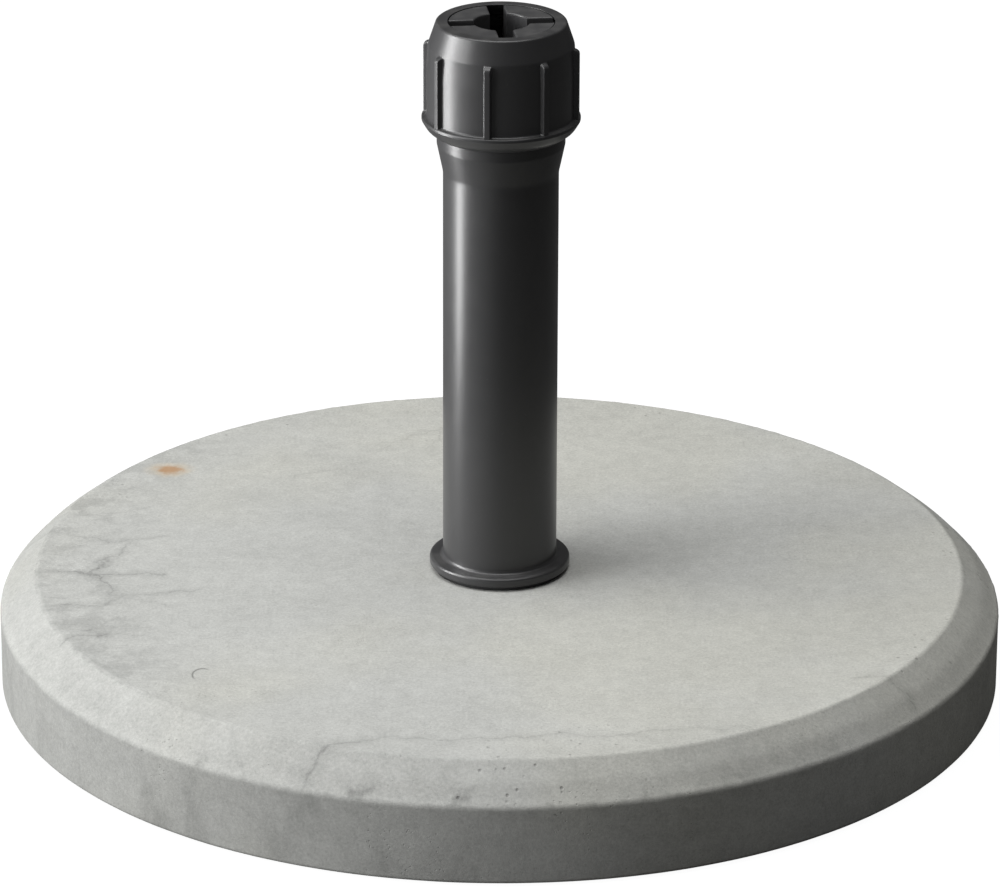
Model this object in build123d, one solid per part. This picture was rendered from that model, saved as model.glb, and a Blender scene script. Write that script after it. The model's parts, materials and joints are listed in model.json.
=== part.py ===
from build123d import *
import os
from math import radians, sqrt, tan

# Parasol base: a round concrete slab with a plastic pole tube bolted through it. A ribbed nut at
# the top of the tube pushes four jaws onto the pole. Millimetres, +Z up; the origin is on the
# ground under the centre of the slab.

# Overlap that joins one solid to another, or lets a cut pass right through
OVERLAP = 1.0

# Foot pads, in pockets under the slab
PAD_COUNT = 6
PAD_RADIUS = 14.0
PAD_CIRCLE = 222.0
PAD_PROUD = 1.5
PAD_POCKET = 4.0
PAD_EDGE = 0.8

# Concrete slab
SLAB_RADIUS = 275.0
SLAB_HEIGHT = 61.3
SLAB_WALL = 43.2
BEVEL_WIDTH = 20.3
BEVEL_CROWN = 0.9
SLAB_FOOT_ROUND = 2.0
RECESS_RADIUS = 62.0
RECESS_DEPTH = 24.0
RECESS_DRAFT = 4.0

# Centre sleeve, cast into the slab
SLEEVE_BORE = 31.3
SLEEVE_WALL = 2.7
SLEEVE_LIP_RADIUS = 36.0
SLEEVE_LIP_HEIGHT = 2.2
SLEEVE_RING_REACH = 3.0
SLEEVE_RING_HEIGHT = 3.0
KEY_WIDTH = 8.0
KEY_PLAY = 0.3

# Pole tube
TUBE_RADIUS = 31.2
TUBE_BORE = 26.5
SPIGOT_RADIUS = 31.1
SPIGOT_BORE = 24.5
SPIGOT_END = 7.0
TUBE_END_ROUND = 1.0
FLANGE_RADIUS = 38.5
FLANGE_THICKNESS = 5.2
FLANGE_ROUND = 1.3
FLANGE_FILLET = 1.6
FLARE_START = 230.5
FLARE_END = 246.6
NECK_RADIUS = 34.6
NECK_TOP = 285.6
NECK_BORE = 28.2
NECK_BORE_DEPTH = 33.0
FLARE_ROUND = 14.0
NECK_ROUND = 2.0

# Threads: male crests on the tube, female crests in the nuts
NUT_PITCH = 6.0
NUT_THREAD_ROOT = 33.0
NUT_THREAD_START = 253.7
LOCK_PITCH = 4.0
LOCK_THREAD_ROOT = 29.6
THREAD_FLANK = 15.0
THREAD_BITE = 0.5
THREAD_PLAY = 0.4
THREAD_CHAMFER = 1.6

# Clamp nut; its heights are depths below the rim
NUT_RIM = 314.6
NUT_MOUTH = 28.6
NUT_RIM_RADIUS = 35.0
NUT_SHOULDER_RADIUS = 39.2
NUT_SHOULDER_DEPTH = 12.5
NUT_BODY_RADIUS = 39.9
NUT_BODY_DEPTH = 26.0
NUT_LIP_RADIUS = 42.75
NUT_LIP_DEPTH = 52.6
NUT_LIP_EDGE = 1.8
NUT_RIM_ROUND = 1.2
NUT_SHOULDER_ROUND = 7.0
NUT_LIP_FILLET = 2.2
NUT_LIP_ROUND = 0.7
NUT_UNDER_RADIUS = 39.7
NUT_UNDER_RISE = 3.1
NUT_DEPTH = 62.4
NUT_RELIEF = 36.4
NUT_THREAD_DEPTH = 33.0
NUT_BORE = 35.05
NUT_THREAD_TURNS = 1.25
NUT_RELIEF_CHAMFER = 1.4
NUT_CONE_SLOPE = 0.466
RIB_COUNT = 8
RIB_FIRST_ANGLE = 34.7
RIB_WIDTH = 4.3
RIB_RADIUS = 42.3
RIB_TOP_DEPTH = 13.6
RIB_ROUND = 1.5
RIB_ROOT = 3.0

# Slip ring, the conical liner between the nut and the jaws
SLIP_TOP_DEPTH = 6.9
SLIP_BOTTOM_DEPTH = 13.9
SLIP_WALL = 1.15
SLIP_PLAY = 0.06

# Jaws and the ring they rock in
JAW_COUNT = 4
JAW_FIRST_ANGLE = 52.0
JAW_HOLE = 15.0
JAW_TOP_DROP = 0.3
JAW_TOP_RADIUS = 28.1
JAW_RADIUS = 31.5
JAW_CONE = 12.0
JAW_HEAD = 24.0
JAW_GAP = 9.0
JAW_EDGE = 0.8
JAW_ROUND = 2.0
JAW_HEEL = 5.0
JAW_HEEL_INSET = 2.0
TONGUE_WIDTH = 14.0
TONGUE_THICKNESS = 3.0
TONGUE_RADIUS = 24.0
BEAD_RADIUS = 2.0
BEAD_PLAY = 0.06
BEAD_DROP = 1.0
JAW_RING_BORE = 19.5
JAW_RING_RADIUS = 28.0
JAW_RING_HEIGHT = 11.0
GROOVE_PLAY = 0.8

# Pole seat, washer and lock nut
SEAT_HEIGHT = 24.0
SEAT_FLOOR = 5.0
SEAT_PLAY = 0.2
SEAT_WALL = 2.0
SEAT_PIT_RADIUS = 12.0
SEAT_ROUND = 0.8
SEAT_DISH = 2.0
DRAIN_RADIUS = 4.0
WASHER_RADIUS = 56.0
WASHER_THICKNESS = 2.0
WASHER_PLAY = 0.4
LOCK_THICKNESS = 12.0
LOCK_RADIUS = 45.0
LOCK_LUG_RADIUS = 50.0
LOCK_LUG_WIDTH = 9.0
LOCK_LUG_COUNT = 6
LOCK_EDGE = 1.0

# Levels above the ground
SLAB_BOTTOM = PAD_PROUD
SLAB_TOP = SLAB_BOTTOM + SLAB_HEIGHT
WEB_BOTTOM = SLAB_BOTTOM + RECESS_DEPTH
FLANGE_BOTTOM = SLAB_TOP + SLEEVE_LIP_HEIGHT
TUBE_TOP = SLAB_TOP + NECK_TOP
JAW_SEAT = TUBE_TOP - NECK_BORE_DEPTH
RIM = SLAB_TOP + NUT_RIM
HINGE_LEVEL = JAW_SEAT + JAW_RING_HEIGHT - BEAD_DROP
SEAT_LEVEL = FLANGE_BOTTOM + FLANGE_THICKNESS


def turned(outline):
    """Solid made by turning a closed (radius, height) outline about Z."""
    return revolve(make_face(Plane.XZ * outline), axis=Axis.Z)


def turned_corners(*corners):
    """Turned solid from corners (radius, height) or (radius, height, rounding)."""
    points = [(corner[0], corner[1]) for corner in corners]
    rounds = [corner[2] if len(corner) > 2 else 0 for corner in corners]
    return turned(FilletPolyline(*points, radius=rounds, close=True))


def tube_solid(outer, inner, low, high):
    """Plain ring between two radii and two heights."""
    return turned_corners((inner, low), (outer, low), (outer, high), (inner, high))


def around(solid, count, first_angle=0.0):
    """The same solid repeated about Z."""
    return [Rot(0, 0, first_angle + 360 / count * step) * solid for step in range(count)]


def thread_ridge(root, crest, pitch, low, turns):
    """Helical ridge from its root radius to its crest radius; a crest below the root points in."""
    way = 1 if crest > root else -1
    foot = root - way * THREAD_BITE
    slope = (abs(crest - root) + THREAD_BITE) * tan(radians(THREAD_FLANK))
    half_base = pitch / 4 + slope / 2
    half_crest = half_base - slope
    spread = {foot: half_base - THREAD_PLAY / 2, crest: half_crest - THREAD_PLAY / 2}
    rails = [
        Edge.make_helix(pitch, pitch * turns, radius, center=(0, 0, low + side * spread[radius]))
        for radius, side in ((foot, -1), (crest, -1), (crest, 1), (foot, 1))
    ]
    sides = [Face.make_surface_from_curves(rails[k], rails[(k + 1) % 4]) for k in range(4)]
    ends = [
        Face(Wire.make_polygon([rail.position_at(end) for rail in rails], close=True))
        for end in (0, 1)
    ]
    return Solid(Shell(sides + ends))


def concrete_slab():
    """Disc with a crowned bevel, a centre hole, a recess below and pockets for the pads."""
    wall_top = SLAB_BOTTOM + SLAB_WALL
    bevel_inner = SLAB_RADIUS - BEVEL_WIDTH
    drop = SLAB_TOP - wall_top
    length = sqrt(BEVEL_WIDTH**2 + drop**2)
    bevel_middle = (
        (SLAB_RADIUS + bevel_inner) / 2 + BEVEL_CROWN * drop / length,
        (SLAB_TOP + wall_top) / 2 + BEVEL_CROWN * BEVEL_WIDTH / length,
    )
    hole = SLEEVE_BORE + SLEEVE_WALL
    outline = FilletPolyline(
        (bevel_inner, SLAB_TOP),
        (hole, SLAB_TOP),
        (hole, WEB_BOTTOM),
        (RECESS_RADIUS - RECESS_DRAFT, WEB_BOTTOM),
        (RECESS_RADIUS, SLAB_BOTTOM),
        (SLAB_RADIUS, SLAB_BOTTOM),
        (SLAB_RADIUS, wall_top),
        radius=[0, 0, 0, 0, SLAB_FOOT_ROUND],
    )
    outline += ThreePointArc((SLAB_RADIUS, wall_top), bevel_middle, (bevel_inner, SLAB_TOP))
    slab = turned(outline)
    pocket = Pos(PAD_CIRCLE, 0, SLAB_BOTTOM + PAD_POCKET / 2) * Cylinder(PAD_RADIUS, PAD_POCKET)
    grooves = tube_solid(
        hole + SLEEVE_RING_REACH,
        hole - OVERLAP,
        (SLAB_TOP + WEB_BOTTOM) / 2,
        (SLAB_TOP + WEB_BOTTOM) / 2 + SLEEVE_RING_HEIGHT,
    )
    return slab - around(pocket, PAD_COUNT) - grooves


def foot_pad():
    """Rubber disc pressed into a pocket, standing a little proud of the concrete."""
    height = PAD_PROUD + PAD_POCKET
    disc = Pos(PAD_CIRCLE, 0, height / 2) * Cylinder(PAD_RADIUS, height)
    return fillet(disc.edges().group_by(Axis.Z)[0], PAD_EDGE)


def keys(width, height):
    """Two opposite blocks that stop the tube turning in the sleeve."""
    reach = SLEEVE_LIP_RADIUS - SPIGOT_RADIUS + OVERLAP
    block = Pos(SPIGOT_RADIUS - OVERLAP + reach / 2, 0, FLANGE_BOTTOM - height / 2)
    return around(block * Box(reach, width, height), 2)


def centre_sleeve():
    """Liner cast into the slab: an anchor ring outside, a lip on the slab, two key notches."""
    middle = (SLAB_TOP + WEB_BOTTOM) / 2
    outer = SLEEVE_BORE + SLEEVE_WALL
    sleeve = turned_corners(
        (SLEEVE_BORE, WEB_BOTTOM),
        (outer, WEB_BOTTOM),
        (outer, middle),
        (outer + SLEEVE_RING_REACH, middle),
        (outer + SLEEVE_RING_REACH, middle + SLEEVE_RING_HEIGHT),
        (outer, middle + SLEEVE_RING_HEIGHT),
        (outer, SLAB_TOP),
        (SLEEVE_LIP_RADIUS, SLAB_TOP),
        (SLEEVE_LIP_RADIUS, FLANGE_BOTTOM),
        (SLEEVE_BORE, FLANGE_BOTTOM),
    )
    return sleeve - keys(KEY_WIDTH + 2 * KEY_PLAY, SLEEVE_LIP_HEIGHT)


def pole_tube():
    """Tube with a keyed flange, a threaded spigot below it and a flared threaded neck."""
    neck_thread = SLAB_TOP + NUT_THREAD_START
    lock_thread_top = WEB_BOTTOM - WASHER_THICKNESS
    body = turned_corners(
        (SPIGOT_BORE, SPIGOT_END),
        (LOCK_THREAD_ROOT, SPIGOT_END, TUBE_END_ROUND),
        (LOCK_THREAD_ROOT, lock_thread_top),
        (SPIGOT_RADIUS, lock_thread_top),
        (SPIGOT_RADIUS, FLANGE_BOTTOM),
        (FLANGE_RADIUS, FLANGE_BOTTOM, FLANGE_ROUND),
        (FLANGE_RADIUS, SEAT_LEVEL, FLANGE_ROUND),
        (TUBE_RADIUS, SEAT_LEVEL, FLANGE_FILLET),
        (TUBE_RADIUS, SLAB_TOP + FLARE_START, FLARE_ROUND),
        (NECK_RADIUS, SLAB_TOP + FLARE_END, NECK_ROUND),
        (NECK_RADIUS, neck_thread),
        (NUT_THREAD_ROOT, neck_thread + THREAD_CHAMFER),
        (NUT_THREAD_ROOT, TUBE_TOP, TUBE_END_ROUND),
        (NECK_BORE, TUBE_TOP, TUBE_END_ROUND),
        (NECK_BORE, JAW_SEAT),
        (TUBE_BORE, JAW_SEAT),
        (TUBE_BORE, SEAT_LEVEL),
        (SPIGOT_BORE, SEAT_LEVEL),
    )
    neck_turns = (TUBE_TOP - neck_thread - NUT_PITCH) / NUT_PITCH
    lock_turns = (lock_thread_top - SPIGOT_END - LOCK_PITCH) / LOCK_PITCH
    upper = thread_ridge(
        NUT_THREAD_ROOT, NECK_RADIUS, NUT_PITCH, neck_thread + NUT_PITCH / 2, neck_turns
    )
    lower = thread_ridge(
        LOCK_THREAD_ROOT, SPIGOT_RADIUS, LOCK_PITCH, SPIGOT_END + LOCK_PITCH / 2, lock_turns
    )
    return body + upper + lower + keys(KEY_WIDTH, SLEEVE_LIP_HEIGHT)


def pole_seat():
    """Cup at the foot of the tube: a cone centres any pole, and a hole drains it."""
    outer = TUBE_BORE - SEAT_PLAY
    top = SEAT_LEVEL + SEAT_HEIGHT
    return turned_corners(
        (DRAIN_RADIUS, SEAT_LEVEL),
        (outer, SEAT_LEVEL),
        (outer, top),
        (outer - SEAT_WALL, top, SEAT_ROUND),
        (SEAT_PIT_RADIUS, SEAT_LEVEL + SEAT_FLOOR),
        (DRAIN_RADIUS, SEAT_LEVEL + SEAT_FLOOR - SEAT_DISH),
    )


def washer():
    """Steel washer that spreads the lock nut's pull over the web of the slab."""
    bore = SPIGOT_RADIUS + WASHER_PLAY
    return tube_solid(WASHER_RADIUS, bore, WEB_BOTTOM - WASHER_THICKNESS, WEB_BOTTOM)


def lock_nut():
    """Lugged ring nut on the spigot, inside the recess."""
    top = WEB_BOTTOM - WASHER_THICKNESS
    low = top - LOCK_THICKNESS
    root = SPIGOT_RADIUS + THREAD_PLAY
    nut = turned_corners(
        (root, low),
        (LOCK_RADIUS, low, LOCK_EDGE),
        (LOCK_RADIUS, top),
        (root, top),
    )
    depth = LOCK_LUG_RADIUS - LOCK_RADIUS + 2 * OVERLAP
    lug = Box(depth, LOCK_LUG_WIDTH, LOCK_THICKNESS)
    lug = fillet(lug.edges().filter_by(Axis.Z).group_by(Axis.X)[-1], LOCK_EDGE)
    lug = Pos(LOCK_LUG_RADIUS - depth / 2, 0, low + LOCK_THICKNESS / 2) * lug
    nut = nut + around(lug, LOCK_LUG_COUNT)
    mid_groove = SPIGOT_END + LOCK_PITCH
    start = mid_groove + LOCK_PITCH * round((low + LOCK_PITCH / 2 - mid_groove) / LOCK_PITCH)
    turns = (top - start - LOCK_PITCH / 2) / LOCK_PITCH
    return nut + thread_ridge(root, LOCK_THREAD_ROOT + THREAD_PLAY, LOCK_PITCH, start, turns)


def jaw_ring():
    """Ring in the neck with four grooves that the jaws' beads rock in."""
    ring = tube_solid(JAW_RING_RADIUS, JAW_RING_BORE, JAW_SEAT, JAW_SEAT + JAW_RING_HEIGHT)
    groove = Rot(90, 0, 0) * Cylinder(BEAD_RADIUS + BEAD_PLAY, TONGUE_WIDTH + GROOVE_PLAY)
    return ring - around(Pos(TONGUE_RADIUS, 0, HINGE_LEVEL) * groove, JAW_COUNT, JAW_FIRST_ANGLE)


def jaw():
    """Clamping jaw facing +X: a quarter of the collet head on a tongue with a bead for a hinge."""
    top = RIM - JAW_TOP_DROP
    low = top - JAW_HEAD
    head = turned_corners(
        (JAW_HOLE, low, JAW_ROUND),
        (JAW_RADIUS - JAW_HEEL_INSET, low, JAW_ROUND),
        (JAW_RADIUS, low + JAW_HEEL, JAW_ROUND),
        (JAW_RADIUS, top - JAW_CONE, JAW_ROUND),
        (JAW_TOP_RADIUS, top),
        (JAW_HOLE, top),
    )
    corner = JAW_GAP / 2 * sqrt(2)
    reach = 2 * JAW_RADIUS
    quarter = Polyline((corner, 0), (corner + reach, reach), (corner + reach, -reach), close=True)
    sector = Plane.XY.offset(low - OVERLAP) * make_face(quarter)
    block = extrude(sector, JAW_HEAD + 2 * OVERLAP)
    head = head & block
    head = fillet(head.edges().group_by(Axis.Z)[-1], JAW_EDGE)
    length = low + 2 * OVERLAP - HINGE_LEVEL
    tongue = Box(TONGUE_THICKNESS, TONGUE_WIDTH, length)
    bead = Rot(90, 0, 0) * Cylinder(BEAD_RADIUS, TONGUE_WIDTH)
    tongue = Pos(TONGUE_RADIUS, 0, HINGE_LEVEL + length / 2) * tongue
    return head + tongue + Pos(TONGUE_RADIUS, 0, HINGE_LEVEL) * bead


def nut_cone(depth):
    """Inner radius of the nut's pressing cone at a depth below the rim."""
    return NUT_MOUTH + NUT_CONE_SLOPE * depth


def slip_ring():
    """Thin cone that goes up and down with the nut but doesn't turn with it."""
    low = RIM - SLIP_BOTTOM_DEPTH
    top = RIM - SLIP_TOP_DEPTH - SLIP_PLAY
    return turned_corners(
        (nut_cone(SLIP_BOTTOM_DEPTH), low),
        (nut_cone(SLIP_BOTTOM_DEPTH) + SLIP_WALL, low),
        (nut_cone(SLIP_TOP_DEPTH) + SLIP_WALL, top),
        (nut_cone(SLIP_TOP_DEPTH), top),
    )


def nut_rib():
    """Grip rib with rounded edges and a rounded top end."""
    inner = NUT_BODY_RADIUS - RIB_ROOT
    low = RIM - NUT_LIP_DEPTH - OVERLAP
    high = RIM - RIB_TOP_DEPTH
    rib = Box(RIB_RADIUS - inner, RIB_WIDTH, high - low)
    rib = Pos((RIB_RADIUS + inner) / 2, 0, (low + high) / 2) * rib
    outer_face = rib.faces().sort_by(Axis.X)[-1]
    edges = outer_face.edges().group_by(Axis.Z)
    return fillet(edges[1] + edges[2], RIB_ROUND)


def clamp_nut():
    """Ribbed nut: pressing cone and slip ring pocket at the top, female thread, lip below."""
    outside = FilletPolyline(
        (NUT_MOUTH, RIM),
        (NUT_RIM_RADIUS, RIM),
        (NUT_SHOULDER_RADIUS, RIM - NUT_SHOULDER_DEPTH),
        (NUT_BODY_RADIUS, RIM - NUT_BODY_DEPTH),
        (NUT_BODY_RADIUS, RIM - NUT_LIP_DEPTH),
        (NUT_LIP_RADIUS, RIM - NUT_LIP_DEPTH),
        (NUT_LIP_RADIUS, RIM - NUT_LIP_DEPTH - NUT_LIP_EDGE),
        radius=[NUT_RIM_ROUND, NUT_SHOULDER_ROUND, 0, NUT_LIP_FILLET, NUT_LIP_ROUND],
    )
    underside = ThreePointArc(
        (NUT_LIP_RADIUS, RIM - NUT_LIP_DEPTH - NUT_LIP_EDGE),
        (NUT_UNDER_RADIUS, RIM - NUT_DEPTH + NUT_UNDER_RISE),
        (NUT_BORE, RIM - NUT_DEPTH),
    )
    inside = Polyline(
        (NUT_BORE, RIM - NUT_DEPTH),
        (NUT_BORE, RIM - NUT_THREAD_DEPTH),
        (NUT_RELIEF, RIM - NUT_THREAD_DEPTH + NUT_RELIEF_CHAMFER),
        (NUT_RELIEF, RIM - SLIP_BOTTOM_DEPTH),
        (nut_cone(SLIP_TOP_DEPTH) + SLIP_WALL + SLIP_PLAY, RIM - SLIP_TOP_DEPTH),
        (nut_cone(SLIP_TOP_DEPTH), RIM - SLIP_TOP_DEPTH),
        (NUT_MOUTH, RIM),
    )
    body = turned(outside + underside + inside)
    mid_groove = SLAB_TOP + NUT_THREAD_START + NUT_PITCH
    engaged = RIM - NUT_THREAD_DEPTH - NUT_PITCH / 2 - NUT_THREAD_TURNS * NUT_PITCH
    start = mid_groove + NUT_PITCH * round((engaged - mid_groove) / NUT_PITCH)
    ridge = thread_ridge(
        NUT_BORE, NUT_THREAD_ROOT + THREAD_PLAY, NUT_PITCH, start, NUT_THREAD_TURNS
    )
    return body + around(nut_rib(), RIB_COUNT, RIB_FIRST_ANGLE) + ridge


def sub_parts():
    """Every node's name and solid."""
    nodes = {
        "concrete_slab": concrete_slab(),
        "centre_sleeve": centre_sleeve(),
        "pole_tube": pole_tube(),
        "pole_seat": pole_seat(),
        "washer": washer(),
        "lock_nut": lock_nut(),
        "jaw_ring": jaw_ring(),
        "slip_ring": slip_ring(),
        "clamp_nut": clamp_nut(),
    }
    for number, pad in enumerate(around(foot_pad(), PAD_COUNT), start=1):
        nodes[f"foot_pad_{number}"] = pad
    for number, one in enumerate(around(jaw(), JAW_COUNT, JAW_FIRST_ANGLE), start=1):
        nodes[f"clamp_jaw_{number}"] = one
    return nodes


os.makedirs("parts", exist_ok=True)
for node, shape in sub_parts().items():
    export_step(shape, f"parts/{node}.step")
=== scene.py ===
import json
import math

import bmesh
import bpy
from bpy.props import FloatProperty, FloatVectorProperty, IntProperty, PointerProperty
from mathutils import Euler, Matrix, Vector, noise

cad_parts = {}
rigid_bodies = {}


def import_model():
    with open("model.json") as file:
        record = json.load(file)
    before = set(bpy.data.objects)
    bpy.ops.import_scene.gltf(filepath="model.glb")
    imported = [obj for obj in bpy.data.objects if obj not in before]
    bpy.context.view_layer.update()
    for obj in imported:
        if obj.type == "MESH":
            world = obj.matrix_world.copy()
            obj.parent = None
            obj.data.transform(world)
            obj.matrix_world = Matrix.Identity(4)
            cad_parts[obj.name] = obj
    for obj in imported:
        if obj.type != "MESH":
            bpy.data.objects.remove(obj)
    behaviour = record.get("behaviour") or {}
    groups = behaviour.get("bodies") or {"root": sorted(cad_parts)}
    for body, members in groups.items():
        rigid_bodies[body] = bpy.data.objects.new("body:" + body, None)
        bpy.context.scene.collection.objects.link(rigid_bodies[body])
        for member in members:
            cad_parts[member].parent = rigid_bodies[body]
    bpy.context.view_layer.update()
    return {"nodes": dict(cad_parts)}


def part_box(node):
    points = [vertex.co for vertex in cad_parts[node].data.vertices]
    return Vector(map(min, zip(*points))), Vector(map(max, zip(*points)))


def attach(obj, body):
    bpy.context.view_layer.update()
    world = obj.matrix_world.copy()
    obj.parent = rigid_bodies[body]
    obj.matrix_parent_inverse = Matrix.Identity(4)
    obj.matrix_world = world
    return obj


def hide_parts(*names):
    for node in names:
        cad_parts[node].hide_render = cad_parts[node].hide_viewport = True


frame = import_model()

bl_info = {
    "name": "Parasol Base",
    "version": (1, 0, 0),
    "blender": (4, 5, 0),
    "location": "3D View > Sidebar > Parasol Base",
    "description": "Concrete parasol base with a pole tube, a ribbed clamp nut and four jaws",
    "category": "Add Mesh",
}

MM = 0.001
FULL_TURN = 2 * math.pi
WHITE = (1.0, 1.0, 1.0, 1.0)

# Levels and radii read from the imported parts
SLAB_LOW, SLAB_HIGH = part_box("concrete_slab")
TUBE_LOW, TUBE_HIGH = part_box("pole_tube")
NUT_LOW, NUT_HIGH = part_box("clamp_nut")
SLAB_RADIUS = (SLAB_HIGH[0] - SLAB_LOW[0]) / 2
SLAB_TOP = SLAB_HIGH[2]
SLAB_FOOT = SLAB_LOW[2]
TUBE_TOP = TUBE_HIGH[2]
NUT_RIM = NUT_HIGH[2]
NUT_RADIUS = (NUT_HIGH[0] - NUT_LOW[0]) / 2
NECK_THREAD = SLAB_TOP + 253.7 * MM

# The slab's bevel, from the flat top down to the upright wall
TOP_RADIUS = 254.7 * MM
BEVEL_KNEE_RADIUS = 265.6 * MM
BEVEL_KNEE = SLAB_TOP - 8.3 * MM
WALL_TOP = SLAB_TOP - 18.1 * MM

# The nut's thread and the neck's thread share these
NUT_PITCH = 6 * MM
THREAD_DEPTH = 1.6 * MM
THREAD_HALF_BASE = 1.6 * MM
THREAD_HALF_CREST = 0.95 * MM


# Outlines and turned meshes

def arc_points(before, corner, after, rounding):
    """Points of the arc that rounds a corner, with a holding point at each end."""
    into = Vector(corner) - Vector(before)
    out = Vector(after) - Vector(corner)
    turn = into.angle(out)
    if rounding <= 0 or turn < 0.01:
        return [tuple(corner)]
    into_dir, out_dir = into.normalized(), out.normalized()
    setback = min(rounding * math.tan(turn / 2), 0.45 * into.length, 0.45 * out.length)
    radius = setback / math.tan(turn / 2)
    start = Vector(corner) - into_dir * setback
    bisector = (out_dir - into_dir).normalized()
    centre = Vector(corner) + bisector * (radius / math.cos(turn / 2))
    steps = max(3, math.ceil(math.degrees(turn) / 10))
    hold = 0.35 * min(setback, 1.5 * MM)
    points = [tuple(start - into_dir * hold)]
    swing = math.copysign(turn, into_dir.cross(out_dir))
    spoke = start - centre
    for step in range(steps + 1):
        angle = swing * step / steps
        turned = Vector((
            spoke.x * math.cos(angle) - spoke.y * math.sin(angle),
            spoke.x * math.sin(angle) + spoke.y * math.cos(angle),
        ))
        points.append(tuple(centre + turned))
    points.append(tuple(Vector(corner) + out_dir * (setback + hold)))
    return points


def rounded_outline(corners, spacing):
    """Closed outline from corners (radius, height, rounding[, spacing of the run that follows])."""
    outline = []
    count = len(corners)
    for index, corner in enumerate(corners):
        before, after = corners[index - 1][:2], corners[(index + 1) % count][:2]
        outline += arc_points(before, corner[:2], after, corner[2])
        run_spacing = corner[3] if len(corner) > 3 else spacing
        following = corners[(index + 1) % count]
        far = corners[(index + 2) % count][:2]
        start = Vector(outline[-1])
        end = Vector(arc_points(corner[:2], following[:2], far, following[2])[0])
        pieces = math.ceil((end - start).length / run_spacing)
        outline += [tuple(start.lerp(end, piece / pieces)) for piece in range(1, pieces)]
    return outline


def lathe_mesh(name, outline, angles, reshape=None):
    """Mesh of a closed outline turned about Z. reshape(angle, radius, height) gives a new radius."""
    rows, columns = len(outline), len(angles)
    points = []
    for angle in angles:
        sine, cosine = math.sin(angle), math.cos(angle)
        for radius, height in outline:
            reach = reshape(angle, radius, height) if reshape else radius
            points.append((reach * cosine, reach * sine, height))
    faces = []
    for column in range(columns):
        left, right = column * rows, (column + 1) % columns * rows
        for row in range(rows):
            above = (row + 1) % rows
            faces.append((left + row, right + row, right + above, left + above))
    mesh = bpy.data.meshes.new(name)
    mesh.from_pydata(points, [], faces)
    signed = sum(a[0] * b[1] - b[0] * a[1] for a, b in zip(outline, outline[1:] + outline[:1]))
    if signed > 0:
        mesh.flip_normals()
    mesh.polygons.foreach_set("use_smooth", [True] * len(faces))
    mesh.update()
    return mesh


def even_angles(count):
    """Angles that share a full turn evenly."""
    return [FULL_TURN * step / count for step in range(count)]


def smoothstep(low, high, value):
    """0 below low, 1 above high, and a smooth rise between."""
    share = min(max((value - low) / (high - low), 0.0), 1.0)
    return share * share * (3 - 2 * share)


def thread_share(angle, height, start, turns, pitch, half_base, half_crest):
    """How far a helical ridge stands at a point, from 0 at its root to 1 at its crest."""
    first = angle / FULL_TURN
    best = 0.0
    for lap in range(math.ceil(turns) + 1):
        along = first + lap
        if along > turns:
            break
        distance = abs(height - start - pitch * along)
        ends = min(smoothstep(0, 0.05, along), smoothstep(0, 0.05, turns - along))
        best = max(best, ends * (1 - smoothstep(half_crest, half_base, distance)))
    return best


def add_piece(name, mesh, body, material, node):
    """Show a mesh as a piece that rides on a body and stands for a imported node."""
    mesh.materials.append(material)
    piece = bpy.data.objects.new(name, mesh)
    bpy.context.scene.collection.objects.link(piece)
    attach(piece, body)
    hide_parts(node)


def dress(node, material):
    """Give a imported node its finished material."""
    slots = frame["nodes"][node].data.materials
    slots.clear()
    slots.append(material)


# Shader maths

class Value:
    """A socket in a material, so that shader maths reads as Python expressions."""

    def __init__(self, shader, socket):
        self.shader = shader
        self.socket = socket

    def __add__(self, other):
        return self.shader.math("ADD", self, other)

    def __sub__(self, other):
        return self.shader.math("SUBTRACT", self, other)

    def __mul__(self, other):
        return self.shader.math("MULTIPLY", self, other)

    def __truediv__(self, other):
        return self.shader.math("DIVIDE", self, other)

    def __pow__(self, other):
        return self.shader.math("POWER", self, other)

    def __radd__(self, other):
        return self.shader.math("ADD", other, self)

    def __rsub__(self, other):
        return self.shader.math("SUBTRACT", other, self)

    def __rmul__(self, other):
        return self.shader.math("MULTIPLY", other, self)

    def __abs__(self):
        return self.shader.math("ABSOLUTE", self)


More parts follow.
